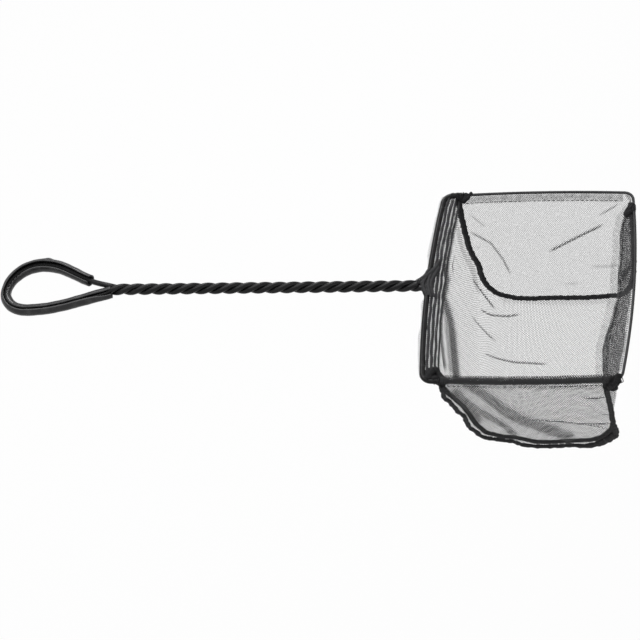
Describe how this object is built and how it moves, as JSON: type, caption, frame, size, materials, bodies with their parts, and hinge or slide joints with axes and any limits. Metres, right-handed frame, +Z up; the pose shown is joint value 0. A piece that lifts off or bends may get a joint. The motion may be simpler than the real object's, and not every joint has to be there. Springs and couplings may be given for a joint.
{
  "type": "aquarium fish net",
  "caption": "Aquarium fish net: black coated wire handle twisted from strands, sleeved hanging loop, wire rim and a sewn black mesh bag.",
  "frame": {"origin": "inner face of the hanging loop's closed end, on the wire's mid height, where the net hangs on a hook", "axes": "+X along the handle from the loop to the net, +Y to the rim's far side, +Z up out of the bag's mouth"},
  "size_m": [0.3998, 0.1544, 0.0861],
  "materials": {
    "strand_coat": "smooth black vinyl coat on steel wire",
    "rim_steel": "dark drawn steel wire, inside the hems",
    "sleeve_vinyl": "black vinyl slit tube, scuffed at the lips",
    "netting": "fine black knitted nylon mesh, about one millimetre to a hole",
    "hem_netting": "the same mesh in several layers, turned over the wire and stitched",
    "seam_binding": "overlocked edge of both meshes in black thread",
    "tack_thread": "gathered mesh wrapped in black thread"
  },
  "bodies": {
    "root": {"far_strand": "strand_coat", "near_strand": "strand_coat", "loop_wire": "strand_coat", "far_rim_arm": "strand_coat", "near_rim_arm": "strand_coat", "rim_wire": "rim_steel", "grip_sleeve": "sleeve_vinyl", "far_panel": "netting", "near_panel": "netting", "gusset": "netting", "far_seam": "seam_binding", "near_seam": "seam_binding", "far_hem": "hem_netting", "near_hem": "hem_netting", "tip_hem": "hem_netting", "handle_hem_far": "hem_netting", "handle_hem_near": "hem_netting", "corner_tacks": "tack_thread"}
  },
  "joints": []
}
